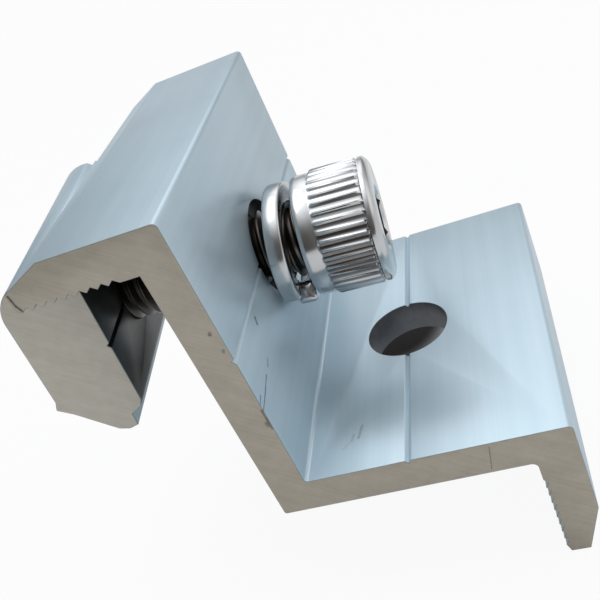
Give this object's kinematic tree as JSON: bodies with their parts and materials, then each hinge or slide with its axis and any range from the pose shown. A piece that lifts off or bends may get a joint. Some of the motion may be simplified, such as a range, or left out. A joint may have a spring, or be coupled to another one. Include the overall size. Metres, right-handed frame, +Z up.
{
  "type": "solar end clamp",
  "caption": "Extruded aluminium clamp for a roof seam: a stepped bracket with a bolt hole and toothed leg, and a jaw that a socket screw pulls towards the web.",
  "frame": {"origin": "centre of the flange's bolt hole, on the flange's underside", "axes": "+Z up out of the flange along the bolt hole, +X from the web to the toothed leg, +Y along the extrusion"},
  "size_m": [0.0518, 0.04, 0.0462],
  "materials": {
    "aluminium": "satin anodised, saw-cut ends",
    "steel": "polished stainless"
  },
  "bodies": {
    "bracket": {"bracket": "aluminium", "spring_washer": "steel"},
    "screw": {"cap_screw": "steel"},
    "jaw": {"clamp_jaw": "aluminium"}
  },
  "joints": [
    {"name": "screw_turn", "type": "hinge", "parent": "bracket", "child": "screw", "pos_m": [-0.0102, 0.00015, 0.01834], "axis": [-0.9924, -0.0833, 0.0906], "range_deg": [-1080, 2880]},
    {"name": "jaw_travel", "type": "slide", "parent": "bracket", "child": "jaw", "axis": [0.9924, 0.0833, -0.0906], "range_m": [-0.0038, 0.0101]}
  ],
  "couplings": [
    {"joint": "jaw_travel", "follows": "screw_turn", "m_per_rad": 0.00019894}
  ]
}
